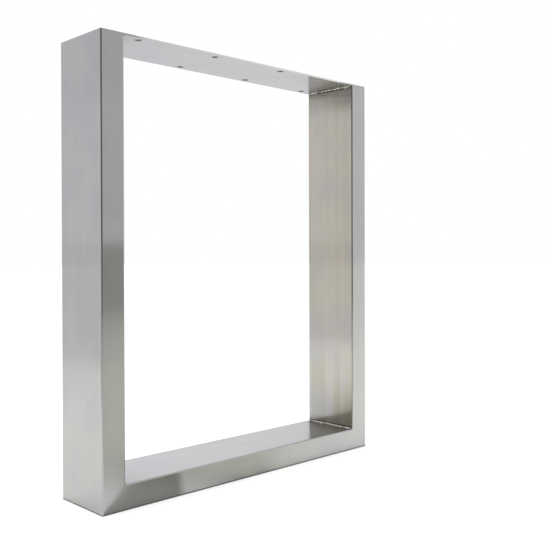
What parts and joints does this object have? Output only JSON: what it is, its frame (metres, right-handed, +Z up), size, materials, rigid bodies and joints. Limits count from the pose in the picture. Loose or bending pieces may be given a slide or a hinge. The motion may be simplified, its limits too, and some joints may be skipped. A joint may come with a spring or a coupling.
{
  "type": "rectangular table leg frame",
  "caption": "Closed rectangular table leg frame of welded brushed stainless tube, with mitred lower corners and a flat drilled plate that screws up into a tabletop.",
  "frame": {"origin": "middle of the leg's footprint, on the floor", "axes": "+Z up, X along the leg's width, Y through its depth with the front at -Y"},
  "size_m": [0.6, 0.12, 0.72],
  "materials": {
    "tube_steel": "stainless steel tube, brushed along its length",
    "plate_steel": "stainless steel strip, brushed along its length",
    "weld_metal": "stainless weld bead, left as laid and brushed clean"
  },
  "bodies": {
    "root": {"left_upright": "tube_steel", "right_upright": "tube_steel", "floor_rail": "tube_steel", "top_plate": "plate_steel", "lower_left_bead": "weld_metal", "lower_right_bead": "weld_metal", "upper_left_bead": "weld_metal", "upper_right_bead": "weld_metal"}
  },
  "joints": []
}
